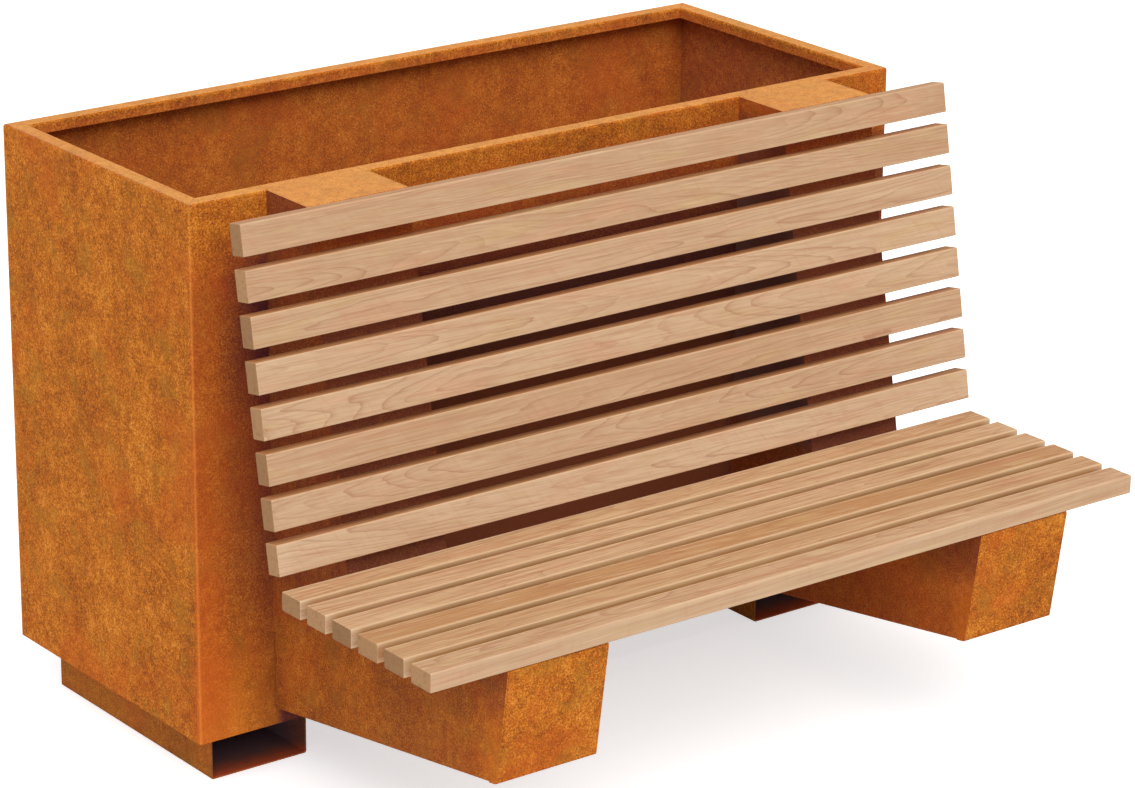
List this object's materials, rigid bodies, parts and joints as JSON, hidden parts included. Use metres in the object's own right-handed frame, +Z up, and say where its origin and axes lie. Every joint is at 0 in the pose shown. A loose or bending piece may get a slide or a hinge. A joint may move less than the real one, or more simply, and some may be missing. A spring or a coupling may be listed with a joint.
{
  "type": "bench with planter",
  "caption": "Open rectangular steel planting trough on tube feet, with a raked slatted wooden bench cantilevered from its front on folded steel brackets.",
  "frame": {"origin": "on the ground under the middle of the whole outline, seat and trough together", "axes": "+X along the length, +Y from the seat towards the back of the trough, +Z up; the seat faces -Y"},
  "size_m": [1.5, 1.276, 1.0552],
  "materials": {
    "weathering_steel": "weathering steel with a matt, mottled orange-brown rust coat",
    "hardwood": "planed pale hardwood, fine straight to arched grain, lightly oiled",
    "fastener_steel": "bright stainless fasteners"
  },
  "bodies": {
    "root": {"trough_shell": "weathering_steel", "trough_back_wall": "weathering_steel", "trough_floor_pan": "weathering_steel", "foot_left": "weathering_steel", "bracket_left_strip": "weathering_steel", "bracket_left_left_cheek": "weathering_steel", "bracket_left_left_stud": "fastener_steel", "bracket_left_right_cheek": "weathering_steel", "bracket_left_right_stud": "fastener_steel", "foot_right": "weathering_steel", "bracket_right_strip": "weathering_steel", "bracket_right_left_cheek": "weathering_steel", "bracket_right_left_stud": "fastener_steel", "bracket_right_right_cheek": "weathering_steel", "bracket_right_right_stud": "fastener_steel", "back_slat_1": "hardwood", "back_slat_1_left_screw": "fastener_steel", "back_slat_1_right_screw": "fastener_steel", "back_slat_2": "hardwood", "back_slat_2_left_screw": "fastener_steel", "back_slat_2_right_screw": "fastener_steel", "back_slat_3": "hardwood", "back_slat_3_left_screw": "fastener_steel", "back_slat_3_right_screw": "fastener_steel", "back_slat_4": "hardwood", "back_slat_4_left_screw": "fastener_steel", "back_slat_4_right_screw": "fastener_steel", "back_slat_5": "hardwood", "back_slat_5_left_screw": "fastener_steel", "back_slat_5_right_screw": "fastener_steel", "back_slat_6": "hardwood", "back_slat_6_left_screw": "fastener_steel", "back_slat_6_right_screw": "fastener_steel", "back_slat_7": "hardwood", "back_slat_7_left_screw": "fastener_steel", "back_slat_7_right_screw": "fastener_steel", "back_slat_8": "hardwood", "back_slat_8_left_screw": "fastener_steel", "back_slat_8_right_screw": "fastener_steel", "seat_slat_1": "hardwood", "seat_slat_1_left_screw": "fastener_steel", "seat_slat_1_right_screw": "fastener_steel", "seat_slat_2": "hardwood", "seat_slat_2_left_screw": "fastener_steel", "seat_slat_2_right_screw": "fastener_steel", "seat_slat_3": "hardwood", "seat_slat_3_left_screw": "fastener_steel", "seat_slat_3_right_screw": "fastener_steel", "seat_slat_4": "hardwood", "seat_slat_4_left_screw": "fastener_steel", "seat_slat_4_right_screw": "fastener_steel", "seat_slat_5": "hardwood", "seat_slat_5_left_screw": "fastener_steel", "seat_slat_5_right_screw": "fastener_steel", "seat_slat_6": "hardwood", "seat_slat_6_left_screw": "fastener_steel", "seat_slat_6_right_screw": "fastener_steel"}
  },
  "joints": []
}
